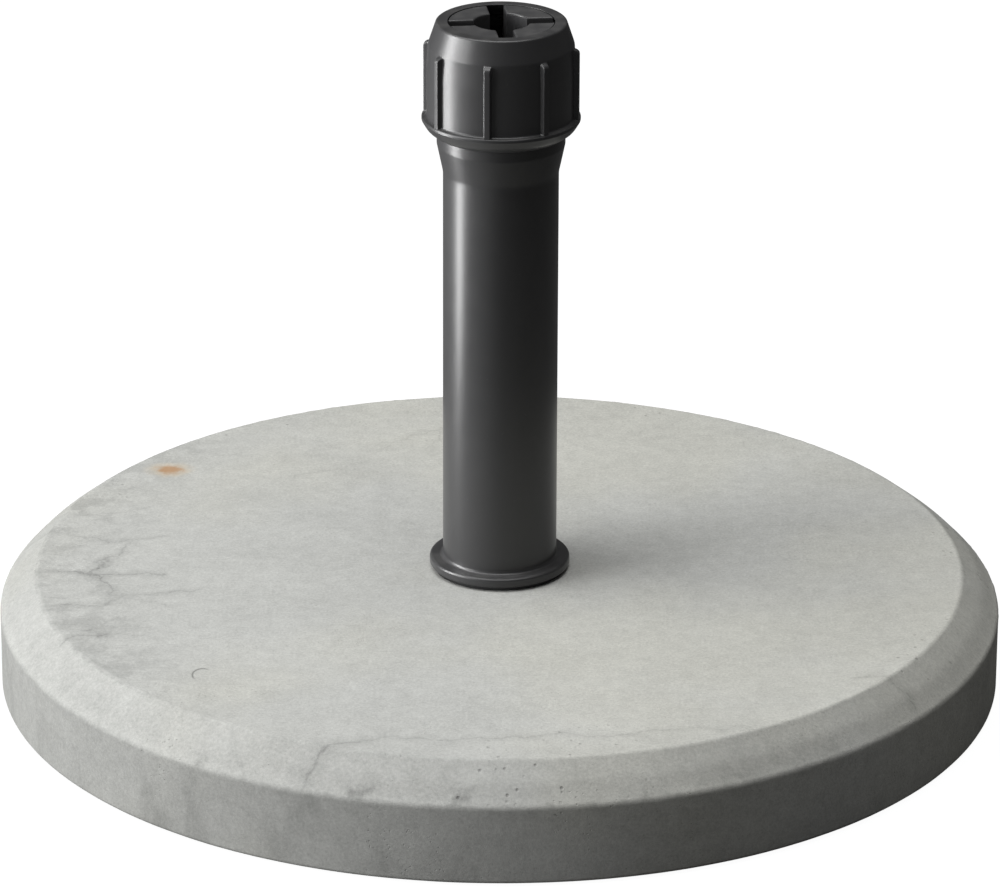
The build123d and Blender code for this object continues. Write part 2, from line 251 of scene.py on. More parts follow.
class Shader:
    """A material and the nodes it is made of."""

    def __init__(self, name):
        self.material = bpy.data.materials.new(name)
        self.material.use_nodes = True
        self.tree = self.material.node_tree
        self.tree.nodes.clear()
        self.place = self.node("ShaderNodeTexCoord", output="Object")

    def node(self, kind, settings=None, sockets=None, output=0):
        """New node: its settings are set first, then its sockets get values or links."""
        node = self.tree.nodes.new(kind)
        for key, value in (settings or {}).items():
            setattr(node, key, value)
        for key, value in (sockets or {}).items():
            socket = self.find(node.inputs, key)
            if isinstance(value, Value):
                self.tree.links.new(value.socket, socket)
            else:
                socket.default_value = value
        if not node.outputs:
            return node
        return Value(self, self.find(node.outputs, output))

    @staticmethod
    def find(sockets, key):
        """A socket by its place, name or identifier."""
        if isinstance(key, int):
            return sockets[key]
        for socket in sockets:
            if socket.identifier == key:
                return socket
        return sockets[key]

    def math(self, operation, *values):
        return self.node(
            "ShaderNodeMath", {"operation": operation}, dict(enumerate(values))
        )

    def maximum(self, first, *others):
        for other in others:
            first = self.math("MAXIMUM", first, other)
        return first

    def rise(self, value, low, high):
        """0 below low, 1 above high, and a smooth rise between."""
        return self.node(
            "ShaderNodeMapRange",
            {"interpolation_type": "SMOOTHSTEP"},
            {"Value": value, "From Min": low, "From Max": high},
        )

    def noise(self, scale, detail=2.0, roughness=0.5, place=None):
        return self.node("ShaderNodeTexNoise", None, {
            "Vector": place or self.place,
            "Scale": scale,
            "Detail": detail,
            "Roughness": roughness,
        })

    def cells(self, scale, output="Distance"):
        return self.node(
            "ShaderNodeTexVoronoi", None, {"Vector": self.place, "Scale": scale}, output
        )

    def stretch(self, factors, place=None):
        """The place scaled along each axis."""
        return self.node(
            "ShaderNodeVectorMath",
            {"operation": "MULTIPLY"},
            {0: place or self.place, 1: factors},
        )

    def warp(self, scale, amount, detail=2.0):
        """The place pushed about by noise."""
        push = self.node("ShaderNodeTexNoise", None, {
            "Vector": self.place, "Scale": scale, "Detail": detail, "Roughness": 0.6,
        }, "Color")
        centred = self.node(
            "ShaderNodeVectorMath", {"operation": "SUBTRACT"}, {0: push, 1: (0.5, 0.5, 0.5)}
        )
        scaled = self.node(
            "ShaderNodeVectorMath", {"operation": "MULTIPLY"}, {0: centred, 1: (amount,) * 3}
        )
        return self.node("ShaderNodeVectorMath", {"operation": "ADD"}, {0: self.place, 1: scaled})

    def split(self, vector=None):
        """The three coordinates of a vector."""
        node = self.node("ShaderNodeSeparateXYZ", None, {"Vector": vector or self.place})
        outputs = node.socket.node.outputs
        return [Value(self, outputs[axis]) for axis in range(3)]

    def mix(self, share, first, second):
        """A colour between two colours."""
        return self.node("ShaderNodeMix", {"data_type": "RGBA"}, {
            "Factor_Float": share, "A_Color": first, "B_Color": second,
        }, "Result_Color")

    def shade(self, colour, share):
        """A colour made darker or lighter by a factor."""
        return self.node(
            "ShaderNodeVectorMath", {"operation": "SCALE"}, {0: colour, "Scale": share}
        )

    def bump(self, height, distance, strength):
        return self.node(
            "ShaderNodeBump", None, {"Height": height, "Distance": distance, "Strength": strength}
        )

    def finish(self, **sockets):
        """Principled surface with these sockets; underscores stand for spaces."""
        named = {key.replace("_", " "): value for key, value in sockets.items()}
        surface = self.node("ShaderNodeBsdfPrincipled", None, named)
        self.node("ShaderNodeOutputMaterial", None, {"Surface": surface})
        return self.material


def colour4(colour):
    """A colour with its alpha of 1."""
    return (*colour, 1.0)


# Concrete

# Hairline cracks seen from above: start, end and width in millimetres, and strength
CRACKS = (
    ((-241, -59), (-217, -58), 1.2, 0.70),
    ((-217, -58), (-201, -46), 1.3, 0.80),
    ((-201, -46), (-164, -36), 1.1, 0.60),
    ((-203, -50), (-178, -62), 0.9, 0.45),
    ((-242, -9), (-219, -16), 1.3, 0.70),
    ((-219, -16), (-186, -15), 1.2, 0.65),
    ((-219, -16), (-206, -49), 1.1, 0.65),
    ((-222, -14), (-215, 8), 1.1, 0.60),
    ((-215, 8), (-203, 36), 1.0, 0.50),
    ((-234, -104), (-209, -95), 1.2, 0.60),
    ((-209, -95), (-193, -97), 0.9, 0.40),
    ((-222, -94), (-206, -78), 1.0, 0.50),
    ((-257, 48), (-220, 31), 1.1, 0.55),
    ((-220, 31), (-187, 38), 1.0, 0.50),
    ((-236, 66), (-198, 80), 0.9, 0.40),
    ((-114, -280), (-102, -256), 2.2, 0.55),
    ((-102, -256), (-90, -240), 2.0, 0.65),
    ((-90, -240), (-56, -228), 1.5, 0.65),
    ((-56, -228), (-15, -232), 1.4, 0.50),
    ((-15, -232), (32, -224), 1.2, 0.40),
    ((32, -224), (78, -221), 1.2, 0.40),
    ((78, -221), (130, -211), 1.1, 0.40),
    ((186, -149), (207, -149), 0.9, 0.50),
    ((207, -149), (224, -166), 0.9, 0.50),
    ((-118, 128), (-78, 150), 0.9, 0.30),
    ((-70, 170), (-30, 208), 1.0, 0.35),
    ((-35, 195), (-40, 165), 1.0, 0.35),
)
RUST_PLACE = (-189 * MM, 137 * MM)
RUST_REACH = (10.0 * MM, 8.2 * MM)
SCRAPE_PLACE = (-157 * MM, -150 * MM)
SCRAPE_RADIUS = 5.2 * MM
SCRAPE_WIDTH = 0.9 * MM
SCRAPE_STRETCH = 1.5


def hairline(shader, x, y, crack):
    """Dark line of a hairline crack from its start to its end, with a soft stain beside it."""
    start, end, width, strength = crack
    run = (Vector(end) - Vector(start)) * MM
    length = run.length
    way = run / length
    from_x = x - start[0] * MM
    from_y = y - start[1] * MM
    along = from_x * way.x + from_y * way.y
    past = shader.maximum(abs(along - length / 2) - length / 2, 0.0)
    aside = from_y * way.x - from_x * way.y
    distance = (aside * aside + past * past) ** 0.5
    core = 1 - shader.rise(distance, 0.0, width * MM)
    stain = 1 - shader.rise(distance, 0.0, 6 * width * MM)
    return (core * 0.7 + stain * 0.45) * strength


def rust_spot(shader, x, y, ragged):
    """Soft-edged rust stain, darker in its middle. Returns its stain and its halo."""
    reach_x = (x - RUST_PLACE[0]) / RUST_REACH[0]
    reach_y = (y - RUST_PLACE[1]) / RUST_REACH[1]
    reach = (reach_x * reach_x + reach_y * reach_y) ** 0.5 + (ragged - 0.5) * 0.9
    return 1 - shader.rise(reach, 0.35, 1.05), 1 - shader.rise(reach, 0.8, 1.7)


def crescent_mark(shader, x, y):
    """Thin curved scrape in the concrete: half of a stretched ring."""
    from_x = x - SCRAPE_PLACE[0]
    from_y = (y - SCRAPE_PLACE[1]) / SCRAPE_STRETCH
    radius = (from_x * from_x + from_y * from_y) ** 0.5
    ring = 1 - shader.rise(abs(radius - SCRAPE_RADIUS), 0.0, SCRAPE_WIDTH)
    half = shader.rise(from_y * 0.64 - from_x * 0.77, -1 * MM, 3 * MM)
    return ring * half


def concrete_material(settings):
    """Cast concrete: cloudy grey, fine sand grain, pores, hairline cracks, a few stains and a little
    painted shade on the bevel.
    """
    shader = Shader("cast_concrete")
    x, y, z = shader.split()
    radius = (x * x + y * y) ** 0.5
    warped = shader.warp(14.0, 20 * MM)

    clouds = shader.noise(7.0, 4.0, 0.55, warped)
    patches = shader.noise(26.0, 5.0, 0.6, warped)
    streaks = shader.noise(9.0, 4.0, 0.6, shader.stretch((0.8, 3.2, 3.2), warped))
    grain = shader.noise(620.0, 3.0, 0.7)
    sand = shader.noise(1900.0, 2.0, 0.6)

    mottle = shader.noise(150.0, 4.0, 0.65)
    tone = 1 + (clouds - 0.5) * 0.16 + (patches - 0.5) * 0.16 + (streaks - 0.5) * 0.12
    tone = tone + (mottle - 0.5) * 0.36 + (grain - 0.5) * 0.60 + (sand - 0.5) * 0.40
    warm = shader.rise(shader.noise(5.0, 3.0), 0.42, 0.66)
    colour = shader.mix(warm, colour4(settings.colour), colour4(settings.warm_colour))

    # Left edge: damp, blotchy band with cracks running in from it
    left = shader.rise(0 - x, 120 * MM, 220 * MM) * shader.rise(radius, 185 * MM, 245 * MM)
    blotches = shader.rise(shader.noise(58.0, 5.0, 0.7, warped), 0.42, 0.62)
    top_only = shader.rise(z, SLAB_TOP - 1.2 * MM, SLAB_TOP - 0.4 * MM)
    damp = left * blotches * top_only * 0.75

    # Foot of the front bevel and the wall: darker water marks
    low_bevel = shader.rise(z, SLAB_TOP - 22 * MM, SLAB_TOP - 16 * MM)
    low_bevel = low_bevel * (1 - shader.rise(z, SLAB_TOP - 14 * MM, SLAB_TOP - 7 * MM))
    front = shader.rise(0 - y, 170 * MM, 260 * MM)
    marks = low_bevel * front * shader.rise(shader.noise(48.0, 4.0, 0.6), 0.52, 0.68)
    wall = 1 - shader.rise(z, SLAB_TOP - 22 * MM, SLAB_TOP - 17 * MM)
    runs = shader.noise(30.0, 4.0, 0.6, shader.stretch((1.0, 1.0, 0.35)))
    wall_marks = wall * shader.rise(runs, 0.5, 0.74)

    # Hairline cracks, broken here and there, that stop at the wall
    bent_x, bent_y, _ = shader.split(shader.warp(55.0, 22 * MM, 5.0))
    cracks = shader.maximum(*[hairline(shader, bent_x, bent_y, crack) for crack in CRACKS])
    broken = shader.rise(patches, 0.34, 0.60)
    above_wall = shader.rise(z, SLAB_TOP - 20 * MM, SLAB_TOP - 12 * MM)
    cracks = cracks * (0.4 + broken * 0.6) * above_wall * settings.crack_strength

    # Air pores: a few large ones in clusters, many small ones everywhere
    near_edge = shader.rise(radius, 190 * MM, 250 * MM)
    cluster = shader.rise(shader.noise(13.0, 2.0), 0.54, 0.66) * near_edge
    picked = shader.rise(shader.split(shader.cells(210.0, output="Color"))[0], 0.60, 0.62)
    big_pores = (1 - shader.rise(shader.cells(210.0), 0.10, 0.26)) * picked * cluster * above_wall
    chosen = shader.rise(shader.split(shader.cells(480.0, output="Color"))[1], 0.70, 0.72)
    small_pores = (1 - shader.rise(shader.cells(480.0), 0.08, 0.30)) * chosen
    small_pores = small_pores * shader.rise(shader.noise(20.0, 2.0), 0.50, 0.66)
    pores = shader.maximum(big_pores, small_pores * 0.7) * settings.pore_strength

    # Pale, smoother patches with a fine dark speckle
    smears = shader.noise(11.0, 4.0, 0.6, shader.stretch((1.0, 2.4, 1.0), warped))
    pale = shader.rise(smears, 0.56, 0.72)
    speckle = shader.rise(shader.noise(900.0, 1.0), 0.55, 0.7) * pale

    crescent = crescent_mark(shader, x, y) * top_only
    # Painted shade: the ring of the bevel just below the top edge is darkened a little, standing in
    # for less light than the key softbox throws on it
    bevel = shader.rise(radius, TOP_RADIUS - 2.2 * MM, TOP_RADIUS + 1.3 * MM) * above_wall
    dark = damp * 0.23 + marks * 0.32 + wall_marks * 0.20 + cracks * 0.42 + pores * 0.30
    dark = dark + speckle * 0.14 + crescent * 0.5 + bevel * 0.08
    colour = shader.shade(colour, tone * (1 - dark) + pale * 0.03)

    stain, halo = rust_spot(shader, x, y, shader.noise(190.0, 3.0))
    colour = shader.mix(halo * top_only * 0.30, colour, colour4(settings.halo_colour))
    colour = shader.mix(stain * top_only * 0.72, colour, colour4(settings.rust_colour))

    relief = grain * 0.5 + sand * 0.3 - pores * 1.6
    normal = shader.bump(relief, 0.4 * MM, settings.relief)
    return shader.finish(
        Base_Color=colour,
        Roughness=0.93 - pale * 0.06 - damp * 0.1,
        Normal=normal,
        Specular_IOR_Level=0.3,
    )


# Plastic, steel and rubber

DUST_COLOUR = (0.42, 0.41, 0.38, 1.0)
CHALK_COLOUR = (0.35, 0.34, 0.32, 1.0)
SLIP_COLOUR = (0.03, 0.03, 0.031)
JAW_BRIGHTNESS = 1.25


def plastic_material(name, colour, roughness, grain):
    """Moulded plastic: even colour, faint flow marks, fine spark-eroded grain, a little dust."""
    shader = Shader(name)
    flow = shader.noise(26.0, 3.0, 0.55, shader.stretch((1.0, 1.0, 0.22)))
    haze = shader.noise(90.0, 3.0, 0.6)
    texture = shader.noise(900.0, 2.0, 0.6)
    specks = shader.rise(shader.noise(420.0, 2.0), 0.69, 0.78)
    tone = 1 + (flow - 0.5) * 0.22 + (haze - 0.5) * 0.12 + specks * 0.25
    facing = shader.split(shader.node("ShaderNodeNewGeometry", output="Normal"))[2]
    dust = shader.rise(facing, 0.55, 0.98) * shader.rise(haze, 0.35, 0.75)
    base = shader.shade(tuple(colour), tone)
    base = shader.mix(dust * 0.05, base, DUST_COLOUR)
    rough = roughness + (flow - 0.5) * 0.08 + (haze - 0.5) * 0.06 + specks * 0.1 + dust * 0.1
    normal = shader.bump(texture * 0.8 + haze * 0.2, 0.12 * MM, grain)
    return shader.finish(
        Base_Color=base, Roughness=rough, Normal=normal, Specular_IOR_Level=0.5
    )


def steel_material(settings):
    """Zinc-plated steel with a crystal spangle and dull scratches."""
    shader = Shader("zinc_steel")
    spangle = shader.split(shader.cells(160.0, output="Color"))[0]
    scratches = shader.noise(500.0, 2.0, 0.6, shader.stretch((1.0, 0.05, 1.0)))
    tone = 0.88 + spangle * 0.16 + (scratches - 0.5) * 0.12
    return shader.finish(
        Base_Color=shader.shade(tuple(settings.steel_colour), tone),
        Metallic=1.0,
        Roughness=0.32 + spangle * 0.14 + scratches * 0.08,
        Normal=shader.bump(scratches, 0.03 * MM, 0.4),
    )


def rubber_material(settings):
    """Black moulded rubber, chalky where it has rubbed on stone."""
    shader = Shader("pad_rubber")
    chalk = shader.rise(shader.noise(140.0, 4.0, 0.65), 0.5, 0.72)
    pits = shader.noise(1100.0, 2.0, 0.6)
    base = shader.shade(tuple(settings.rubber_colour), 0.85 + pits * 0.3)
    return shader.finish(
        Base_Color=shader.mix(chalk * 0.18, base, CHALK_COLOUR),
        Roughness=0.78 + chalk * 0.12,
        Normal=shader.bump(pits, 0.1 * MM, 0.5),
    )


# Settings that a user would change

class SlabSettings(bpy.types.PropertyGroup):
    columns: IntProperty(name="Columns", description="Faces round the slab", default=540, min=96)
    edge_wear: FloatProperty(
        name="Edge wear", description="How deep the edges are chipped", default=0.22 * MM,
        unit="LENGTH", precision=5,
    )
    unevenness: FloatProperty(
        name="Unevenness", description="How far the cast faces swell and dip", default=0.10 * MM,
        unit="LENGTH", precision=5,
    )
    colour: FloatVectorProperty(
        name="Colour", description="Grey of the dry concrete", subtype="COLOR",
        default=(0.500, 0.505, 0.484),
    )
    warm_colour: FloatVectorProperty(
        name="Warm colour", description="Grey of the sandier patches", subtype="COLOR",
        default=(0.515, 0.515, 0.474),
    )
    rust_colour: FloatVectorProperty(
        name="Rust", description="Colour of the rust stain", subtype="COLOR",
        default=(0.42, 0.21, 0.075),
    )
    halo_colour: FloatVectorProperty(
        name="Rust halo", description="Colour round the rust stain", subtype="COLOR",
        default=(0.66, 0.52, 0.33),
    )
    crack_strength: FloatProperty(
        name="Cracks", description="How dark the hairline cracks are", default=1.0, min=0.0,
    )
    pore_strength: FloatProperty(
        name="Pores", description="How deep and dark the air pores are", default=1.0, min=0.0,
    )
    relief: FloatProperty(
        name="Relief", description="Strength of the sandy relief", default=0.55, min=0.0,
    )


class PlasticSettings(bpy.types.PropertyGroup):
    colour: FloatVectorProperty(
        name="Colour", description="Charcoal of the tube and the nut", subtype="COLOR",
        default=(0.036, 0.036, 0.037),
    )
    roughness: FloatProperty(
        name="Roughness", description="Roughness of the outer plastic", default=0.33, min=0.0,
        max=1.0, subtype="FACTOR",
    )
    grain: FloatProperty(
        name="Grain", description="Strength of the mould grain", default=0.1, min=0.0,
    )
    tube_columns: IntProperty(
        name="Tube columns", description="Faces round the tube", default=192, min=48,
    )
    rib_count: IntProperty(name="Ribs", description="Grip ribs on the nut", default=8, min=3)
    rib_angle: FloatProperty(
        name="First rib", description="Angle of the first rib", default=math.radians(34.7),
        unit="ROTATION",
    )
    rib_width: FloatProperty(
        name="Rib width", description="Width of a grip rib", default=4.3 * MM, unit="LENGTH",
        precision=5,
    )


class FittingSettings(bpy.types.PropertyGroup):
    steel_colour: FloatVectorProperty(
        name="Steel", description="Colour of the washer", subtype="COLOR",
        default=(0.60, 0.61, 0.62),
    )
    rubber_colour: FloatVectorProperty(
        name="Rubber", description="Colour of the foot pads", subtype="COLOR",
        default=(0.022, 0.022, 0.022),
    )
    sleeve_colour: FloatVectorProperty(
        name="Sleeve", description="Colour of the sleeve and the seat", subtype="COLOR",
        default=(0.020, 0.020, 0.021),
    )


class StudioSettings(bpy.types.PropertyGroup):
    lens: FloatProperty(name="Lens", description="Focal length in millimetres", default=217.93)
    pitch: FloatProperty(
        name="Pitch", description="How far the camera looks down", default=0.38252,
        unit="ROTATION",
    )
    roll: FloatProperty(
        name="Roll", description="Tilt of the camera about its own line of sight",
        default=0.0035, unit="ROTATION",
    )
    place: FloatVectorProperty(
        name="Place", description="Where the camera stands", subtype="TRANSLATION",
        default=(0.0, -3.0735, 1.3715), unit="LENGTH",
    )
    key_light: FloatProperty(
        name="Key light", description="Power of the high softbox on the left", default=25.0,
        unit="POWER",
    )
    side_light: FloatProperty(
        name="Side light", description="Power of the low softbox on the left", default=27.0,
        unit="POWER",
    )
    top_light: FloatProperty(
        name="Top light", description="Power of the softbox overhead", default=34.0, unit="POWER",
    )
    strip_light: FloatProperty(
        name="Strip light", description="Power of the strip that draws the line on the tube",
        default=4.7, unit="POWER",
    )
    fill: FloatProperty(
        name="Fill", description="Strength of the even light all round", default=0.06, min=0.0,
    )
    floor_glow: FloatProperty(
        name="Floor", description="Brightness of the pale floor and backdrop", default=0.97,
    )


# Operators: one for each piece or group of pieces

def worn_edge(place, depth):
    """Loss of concrete where an edge is chipped or rubbed."""
    radius = math.hypot(place.x, place.y)
    from_top_edge = abs(radius - TOP_RADIUS) + abs(place.z - SLAB_TOP)
    from_wall_edge = abs(radius - SLAB_RADIUS) + abs(place.z - WALL_TOP)
    near = 1 - smoothstep(0.5 * MM, 6 * MM, min(from_top_edge, from_wall_edge))
    if near <= 0:
        return 0.0
    rough = noise.fractal(place * 55, 0.7, 2.1, 4)
    chips = smoothstep(0.15, 0.75, noise.fractal(place * 140 + Vector((9, 2, 5)), 0.6, 2.1, 3))
    return near * depth * (0.25 * abs(rough) + 0.9 * chips)


class BASE_OT_slab(bpy.types.Operator):
    """Concrete slab with uneven cast faces and softly worn edges"""
    bl_idname = "parasol_base.slab"
    bl_label = "Concrete slab"

    def execute(self, context):
        settings = context.scene.parasol_slab
        hole, recess_mouth, recess_roof = 34.0 * MM, 62.0 * MM, 58.0 * MM
        recess_top = SLAB_FOOT + 24 * MM
        corners = (
            (hole, SLAB_TOP, 0.5 * MM),
            (TOP_RADIUS, SLAB_TOP, 3.6 * MM, 1.6 * MM),
            (BEVEL_KNEE_RADIUS, BEVEL_KNEE, 34 * MM, 1.6 * MM),
            (SLAB_RADIUS, WALL_TOP, 4.6 * MM, 3.0 * MM),
            (SLAB_RADIUS, SLAB_FOOT, 2.0 * MM),
            (recess_mouth, SLAB_FOOT, 1.0 * MM),
            (recess_roof, recess_top, 1.0 * MM),
            (hole, recess_top, 0.5 * MM),
        )
        outline = rounded_outline(corners, 6.5 * MM)
        mesh = lathe_mesh("slab", outline, even_angles(settings.columns))
        smooth_middle = 64 * MM
        places = [vertex.co.copy() for vertex in mesh.vertices]
        normals = [vertex.normal.copy() for vertex in mesh.vertices]
        moved = []
        for place, normal in zip(places, normals):
            if math.hypot(place.x, place.y) > smooth_middle:
                swell = noise.fractal(place * 16, 0.8, 2.0, 4) * settings.unevenness
                loss = worn_edge(place, settings.edge_wear)
                place = place + normal * (swell - loss - settings.unevenness)
            moved.extend(place)
        mesh.vertices.foreach_set("co", moved)
        mesh.update()
        add_piece(
            "slab", mesh, "stand", concrete_material(settings), "concrete_slab"
        )
        return {"FINISHED"}


class BASE_OT_tube(bpy.types.Operator):
    """Pole tube with its flange, spigot, flared neck and two threads"""
    bl_idname = "parasol_base.tube"
    bl_label = "Pole tube"

    def execute(self, context):
        settings = context.scene.parasol_plastic
        flange, flange_top = SLAB_TOP + 2.2 * MM, SLAB_TOP + 7.4 * MM
        flange_radius, tube_radius = 38.5 * MM, 31.2 * MM
        spigot_end, spigot_bore, tube_bore = TUBE_LOW[2], 24.5 * MM, 26.5 * MM
        flare_foot, flare_top = SLAB_TOP + 230.5 * MM, SLAB_TOP + 246.6 * MM
        neck_root, neck_crest = 33.0 * MM, 33.0 * MM + THREAD_DEPTH
        lock_root, lock_crest, lock_play = 29.6 * MM, 31.1 * MM, 0.1 * MM
        lock_top, lock_pitch = SLAB_FOOT + 22 * MM, 4 * MM
        jaw_seat, jaw_bore = TUBE_TOP - 33 * MM, 28.2 * MM
        corners = (
            (spigot_bore, spigot_end, 0.5 * MM),
            (lock_root, spigot_end, 1.0 * MM, 0.5 * MM),
            (lock_root, lock_top, 0.2 * MM),
            (lock_crest, lock_top, 0.3 * MM),
            (lock_crest, flange, 0.3 * MM),
            (flange_radius, flange, 1.3 * MM),
            (flange_radius, flange_top, 1.5 * MM),
            (tube_radius, flange_top, 1.9 * MM),
            (tube_radius, flare_foot, 16 * MM, 1.5 * MM),
            (neck_crest, flare_top, 5 * MM),
            (neck_crest, NECK_THREAD, 0.3 * MM),
            (neck_root, NECK_THREAD + THREAD_DEPTH, 0.4 * MM, 0.5 * MM),
            (neck_root, TUBE_TOP, 1.0 * MM),
            (jaw_bore, TUBE_TOP, 1.0 * MM),
            (jaw_bore, jaw_seat, 0.3 * MM),
            (tube_bore, jaw_seat, 0.3 * MM, 20 * MM),
            (tube_bore, flange_top, 0.3 * MM),
            (spigot_bore, flange_top, 0.3 * MM, 20 * MM),
        )
        outline = rounded_outline(corners, 8 * MM)
        neck_turns = (TUBE_TOP - NECK_THREAD - NUT_PITCH) / NUT_PITCH
        lock_turns = (lock_top - spigot_end - lock_pitch) / lock_pitch

        def threads(angle, radius, height):
            if abs(radius - neck_root) < 0.05 * MM and height > NECK_THREAD:
                share = thread_share(
                    angle, height, NECK_THREAD + NUT_PITCH / 2, neck_turns, NUT_PITCH,
                    THREAD_HALF_BASE, THREAD_HALF_CREST,
                )
                return radius + THREAD_DEPTH * share
            if abs(radius - lock_root) < 0.05 * MM and height < lock_top:
                share = thread_share(
                    angle, height, spigot_end + lock_pitch / 2, lock_turns, lock_pitch,
                    1.1 * MM, 0.6 * MM,
                )
                return radius + (lock_crest - lock_play - lock_root) * share
            return radius

        mesh = lathe_mesh("tube", outline, even_angles(settings.tube_columns), threads)
        material = plastic_material(
            "charcoal_tube", settings.colour, settings.roughness, settings.grain
        )
        add_piece("tube", mesh, "stand", material, "pole_tube")
        return {"FINISHED"}


def ribbed_angles(count, first, width, radius):
    """Angles round the nut, close together over each rib's sides and wide apart between ribs."""
    half = width / 2 / radius
    offsets = [0.0] + [half * (0.45 + 0.055 * step) for step in range(15)] + [1.5 * half]
    gap = FULL_TURN / count - 2 * offsets[-1]
    between = [offsets[-1] + gap * share / 12 for share in range(1, 12)]
    pitch = [-offset for offset in reversed(offsets[1:])] + offsets + between
    return [first + FULL_TURN / count * rib + angle for rib in range(count) for angle in pitch]


class BASE_OT_nut(bpy.types.Operator):
    """Clamp nut with its grip ribs, bottom lip and inner thread"""
    bl_idname = "parasol_base.nut"
    bl_label = "Clamp nut"

    def execute(self, context):
        settings = context.scene.parasol_plastic
        body, bore, relief = 39.9 * MM, 35.05 * MM, 36.4 * MM
        rim, shoulder, shoulder_level = 35.0 * MM, 39.2 * MM, NUT_RIM - 12.5 * MM
        rib_reach, rib_root = 42.3 * MM, 38.2 * MM
        rib_top, rib_round = NUT_RIM - 13.2 * MM, 2.6 * MM
        lip_top, lip_edge = NUT_RIM - 52.6 * MM, 1.8 * MM
        thread_low, thread_start = NUT_RIM - 46.5 * MM, NUT_RIM - 42.9 * MM
        thread_top, thread_turns = NUT_RIM - 33 * MM, 1.25
        slip_depth, cone_slope = 6.9 * MM, 0.466
        slip_top, slip_bottom = NUT_RIM - slip_depth, NUT_RIM - 13.9 * MM
        mouth = 28.6 * MM
        pocket, pocket_step = mouth + cone_slope * slip_depth, 1.21 * MM
        corners = (
            (mouth, NUT_RIM, 0.25 * MM),
            (rim, NUT_RIM, 1.4 * MM, 1.0 * MM),
            (shoulder, shoulder_level, 5.5 * MM, 0.6 * MM),
            (body, NUT_RIM - 26 * MM, 30 * MM, 1.2 * MM),
            (body, lip_top, 2.4 * MM, 0.6 * MM),
            (NUT_RADIUS, lip_top, 0.8 * MM),
            (NUT_RADIUS, lip_top - lip_edge, 1.2 * MM),
            (body, NUT_LOW[2] + 3.2 * MM, 9 * MM),
            (bore, NUT_LOW[2], 0.5 * MM, 0.5 * MM),
            (bore, thread_top, 0.3 * MM),
            (relief, thread_top + 1.4 * MM, 0),
            (relief, slip_bottom, 0),
            (pocket + pocket_step, slip_top, 0),
            (pocket, slip_top, 0),
        )
        outline = rounded_outline(corners, 2.0 * MM)
        half = settings.rib_width / 2
        spacing = FULL_TURN / settings.rib_count

        def ribs_and_thread(angle, radius, height):
            if radius > rib_root and lip_top - 0.5 * MM < height < rib_top + 0.5 * MM:
                offset = (angle - settings.rib_angle + spacing / 2) % spacing - spacing / 2
                aside = abs(offset) * rib_reach
                side = 1 - smoothstep(half - 0.75 * MM, half + 0.35 * MM, aside)
                from_top = max(rib_top - height, 0.0)
                end = math.sqrt(max(0.0, 1 - (1 - min(from_top / rib_round, 1.0)) ** 2))
                return max(radius, radius + (rib_reach - radius) * side * end)
            if abs(radius - bore) < 0.05 * MM and height > thread_low:
                share = thread_share(
                    angle % FULL_TURN, height, thread_start, thread_turns, NUT_PITCH,
                    THREAD_HALF_BASE, THREAD_HALF_CREST,
                )
                return radius - THREAD_DEPTH * share
            return radius

        angles = ribbed_angles(
            settings.rib_count, settings.rib_angle, settings.rib_width, rib_reach
        )
        mesh = lathe_mesh("nut", outline, angles, ribs_and_thread)
        material = plastic_material(
            "charcoal_nut", settings.colour, settings.roughness, settings.grain
        )
        add_piece("nut", mesh, "clamp_nut", material, "clamp_nut")
        return {"FINISHED"}


FIRST_JAW = math.radians(52)


def jaw_ring_points(outer, inner, half_gap, height, steps=20):
    """Outline of a jaw at one height: out along its outer arc and back along its inner arc."""
    points = []
    for radius, way in ((outer, 1), (inner, -1)):
        reach = math.pi / 4 - math.asin(half_gap / radius)
        for step in range(steps + 1):
            angle = way * reach * (2 * step / steps - 1)
            points.append((radius * math.cos(angle), radius * math.sin(angle), height))
    return points


